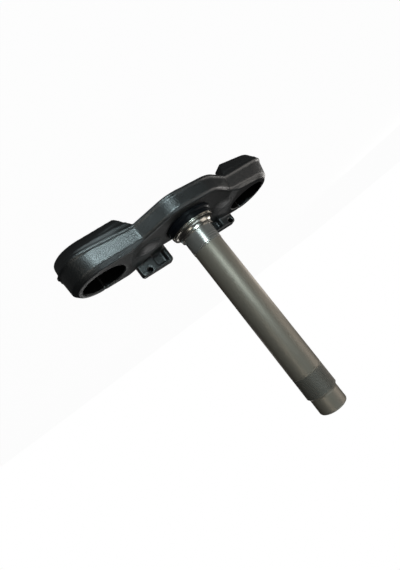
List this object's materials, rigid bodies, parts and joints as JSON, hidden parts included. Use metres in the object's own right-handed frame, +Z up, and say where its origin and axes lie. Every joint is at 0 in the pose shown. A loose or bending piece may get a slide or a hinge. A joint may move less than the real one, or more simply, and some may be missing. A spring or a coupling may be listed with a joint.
{
  "type": "motorcycle lower triple clamp",
  "caption": "Forged black yoke with split clamps for the fork tubes, bracket lugs and a pressed-in hollow steering stem that carries the lower bearing's inner race on a dust seal.",
  "frame": {"origin": "on the steering stem's axis, level with the flat undersides of the fork clamps", "axes": "+Z up the stem, +Y to the front of the motorcycle, where the fork bores and the bracket lugs are, +X to the clamp beside the lug that is nearer to the stem"},
  "size_m": [0.2442, 0.1012, 0.2403],
  "materials": {
    "yoke_coat": "satin black powder coat with a fine grain",
    "stem_steel": "turned and satin finished",
    "race_steel": "ground and polished bearing steel",
    "washer_steel": "bright",
    "seal_rubber": "smooth black",
    "bolt_steel": "black zinc plated"
  },
  "bodies": {
    "root": {"clamp_body": "yoke_coat", "steering_stem": "stem_steel", "bearing_race": "race_steel", "race_washer": "washer_steel", "dust_seal": "seal_rubber", "pinch_bolts": "bolt_steel"}
  },
  "joints": []
}
